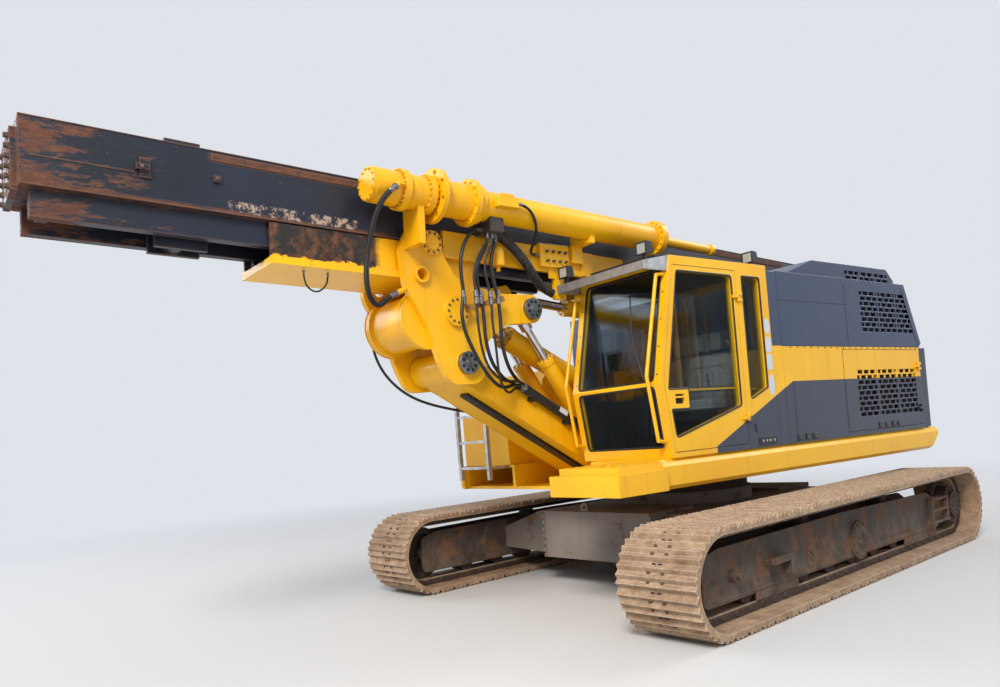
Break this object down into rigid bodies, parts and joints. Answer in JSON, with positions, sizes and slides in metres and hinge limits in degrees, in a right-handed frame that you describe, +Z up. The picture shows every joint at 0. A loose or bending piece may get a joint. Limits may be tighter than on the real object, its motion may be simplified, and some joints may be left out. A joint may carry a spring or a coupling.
{
  "type": "sheet piling rig",
  "caption": "Tracked sheet piling rig with a hinged boom, a curved head and a sliding box leader that lies over the hood, ready to be raised upright.",
  "frame": {"origin": "on the ground below the slew axis", "axes": "-Y is the direction that the cab faces, +X is the left side with the cab, +Z is up"},
  "size_m": [4.5666, 10.6128, 3.93],
  "materials": {
    "bare_steel": "dull",
    "black_plastic": "matt",
    "frame_paint": "matt, rusty and dusty",
    "hose_rubber": "matt",
    "navy_paint": "matt, rubbed to brown rust",
    "rod_chrome": "polished",
    "seat_fabric": "woven",
    "shoe_steel": "rusty, worn bright on the edges",
    "silver_sheet": "dull",
    "slate_paint": "satin",
    "window_glass": "clear",
    "yellow_paint": "semi-gloss, worn"
  },
  "bodies": {
    "undercarriage": {"carbody": "frame_paint", "slew_ring": "shoe_steel", "track_frame_left": "frame_paint", "track_frame_right": "frame_paint", "track_left": "shoe_steel", "track_right": "shoe_steel", "idlers": "shoe_steel", "final_drives": "shoe_steel", "bottom_rollers": "shoe_steel", "carrier_rollers": "shoe_steel"},
    "upper": {"main_frame": "yellow_paint", "skirts": "yellow_paint", "front_platform": "yellow_paint", "cylinder_tower": "yellow_paint", "tool_box": "yellow_paint", "side_tank": "yellow_paint", "ladder": "silver_sheet", "cab_shell": "yellow_paint", "cab_glass": "window_glass", "cab_visor": "silver_sheet", "roof_guard": "black_plastic", "seat": "seat_fabric", "handrails": "yellow_paint", "mirror": "black_plastic", "cab_console": "black_plastic", "work_lamps": "black_plastic", "hood_shell": "slate_paint", "hood_top_box": "slate_paint", "counterweight": "slate_paint", "engine_block": "bare_steel"},
    "cab_door": {"door_frame": "yellow_paint", "door_glass": "window_glass"},
    "service_left": {"service_door_left": "slate_paint"},
    "service_right": {"service_door_right": "slate_paint"},
    "boom": {"boom_beam": "yellow_paint", "boom_lines": "hose_rubber"},
    "head": {"head_cheeks": "yellow_paint", "pin_covers": "bare_steel", "leader_cradle": "yellow_paint", "drive_tube": "yellow_paint", "drive_saddles": "yellow_paint", "drive_gearbox": "yellow_paint", "head_fittings": "bare_steel", "hose_sleeve": "hose_rubber", "hose_outer": "hose_rubber", "hose_middle": "hose_rubber", "hose_inner": "hose_rubber", "hose_ribbed": "hose_rubber"},
    "drive_disc_body": {"drive_disc": "silver_sheet"},
    "leader": {"leader_box": "navy_paint", "leader_rails": "navy_paint", "leader_blocks": "navy_paint"},
    "tilt_barrels": {"tilt_barrel_left": "yellow_paint", "tilt_barrel_right": "yellow_paint"},
    "tilt_rods": {"tilt_rod_left": "rod_chrome", "tilt_rod_right": "rod_chrome"},
    "push_barrel_body": {"push_barrel": "yellow_paint"},
    "push_rod_body": {"push_rod": "rod_chrome"},
    "neck_barrel_body": {"neck_barrel": "yellow_paint"},
    "neck_rod_body": {"neck_rod": "rod_chrome"}
  },
  "joints": [
    {"name": "slew", "type": "hinge", "parent": "undercarriage", "child": "upper", "pos_m": [0, 0, 1], "axis": [0, 0, 1], "continuous": true},
    {"name": "boom_raise", "type": "hinge", "parent": "upper", "child": "boom", "pos_m": [0, -1.35, 1.24], "axis": [-1, 0, 0], "range_deg": [0, 12]},
    {"name": "head_turn", "type": "hinge", "parent": "boom", "child": "head", "pos_m": [0, -3.22, 2.3], "axis": [1, 0, 0], "range_deg": [0, 99.6]},
    {"name": "leader_slide", "type": "slide", "parent": "head", "child": "leader", "axis": [0, 0.9991, -0.0419], "range_m": [0, 1.6]},
    {"name": "tilt_barrel_turn", "type": "hinge", "parent": "boom", "child": "tilt_barrels", "pos_m": [0, -1.35, 1.24], "axis": [1, 0, 0], "range_deg": [0, 20.29]},
    {"name": "tilt_rod_slide", "type": "slide", "parent": "tilt_barrels", "child": "tilt_rods", "axis": [0, -0.5656, 0.8247], "range_m": [0, 1.166]},
    {"name": "push_barrel_turn", "type": "hinge", "parent": "upper", "child": "push_barrel_body", "pos_m": [0, -0.75, 1.78], "axis": [-1, 0, 0], "range_deg": [0, 2.89]},
    {"name": "push_rod_slide", "type": "slide", "parent": "push_barrel_body", "child": "push_rod_body", "axis": [0, -0.9008, 0.4342], "range_m": [0, 0.805]},
    {"name": "neck_barrel_turn", "type": "hinge", "parent": "upper", "child": "neck_barrel_body", "pos_m": [0, -0.22, 2.77], "axis": [-1, 0, 0], "range_deg": [0, 5.22]},
    {"name": "neck_rod_slide", "type": "slide", "parent": "neck_barrel_body", "child": "neck_rod_body", "axis": [0, -0.9949, 0.1012], "range_m": [0, 1.1997]},
    {"name": "drive_turn", "type": "hinge", "parent": "head", "child": "drive_disc_body", "pos_m": [0.545, -3.5481, 3.6745], "axis": [0, 0.9991, -0.0419], "continuous": true},
    {"name": "cab_door_open", "type": "hinge", "parent": "upper", "child": "cab_door", "pos_m": [1.464, -0.783, 2.2], "axis": [0, 0, 1], "range_deg": [0, 150]},
    {"name": "service_left_open", "type": "hinge", "parent": "upper", "child": "service_left", "pos_m": [1.464, 2.787, 1.8], "axis": [0, 0, 1], "range_deg": [0, 110]},
    {"name": "service_right_open", "type": "hinge", "parent": "upper", "child": "service_right", "pos_m": [-1.464, 2.787, 1.8], "axis": [0, 0, -1], "range_deg": [0, 110]}
  ],
  "couplings": [
    {"joint": "boom_raise", "follows": "head_turn", "ratio": 0.12048},
    {"joint": "leader_slide", "follows": "head_turn", "m_per_rad": 0.92041},
    {"joint": "tilt_barrel_turn", "follows": "head_turn", "ratio": 0.20368},
    {"joint": "tilt_rod_slide", "follows": "head_turn", "m_per_rad": 0.67068},
    {"joint": "push_barrel_turn", "follows": "head_turn", "ratio": 0.029022},
    {"joint": "push_rod_slide", "follows": "head_turn", "m_per_rad": 0.46302},
    {"joint": "neck_barrel_turn", "follows": "head_turn", "ratio": 0.052426},
    {"joint": "neck_rod_slide", "follows": "head_turn", "m_per_rad": 0.6901}
  ]
}
